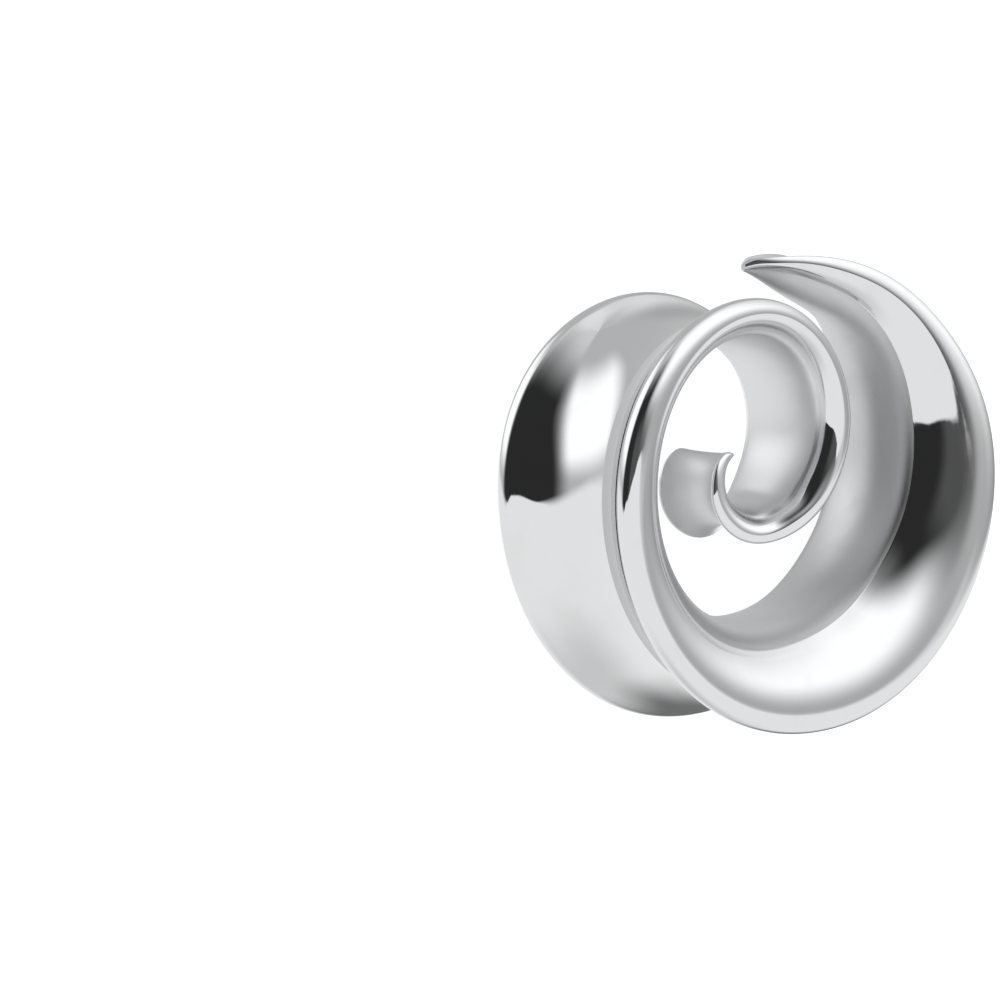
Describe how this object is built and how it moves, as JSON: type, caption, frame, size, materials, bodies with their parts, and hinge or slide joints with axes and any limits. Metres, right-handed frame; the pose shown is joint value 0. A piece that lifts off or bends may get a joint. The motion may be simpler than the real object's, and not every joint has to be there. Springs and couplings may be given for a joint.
{
  "type": "spiral ear taper",
  "caption": "Mirror-polished steel spiral taper for a stretched ear lobe: a flared saddle bar that winds from a narrow tip through a broad coil into a small inner curl.",
  "frame": {"origin": "the pole of the spiral, half way across the bar's width", "axes": "+Z along the spiral's axis, the way it goes through the lobe, out of the face on which the bar winds clockwise inwards; +Y towards the tip; +X towards the deepest part of the bar"},
  "size_m": [0.029, 0.0275, 0.0122],
  "materials": {
    "polished_steel": "mirror-polished stainless steel"
  },
  "bodies": {
    "root": {"spiral_taper": "polished_steel"}
  },
  "joints": []
}
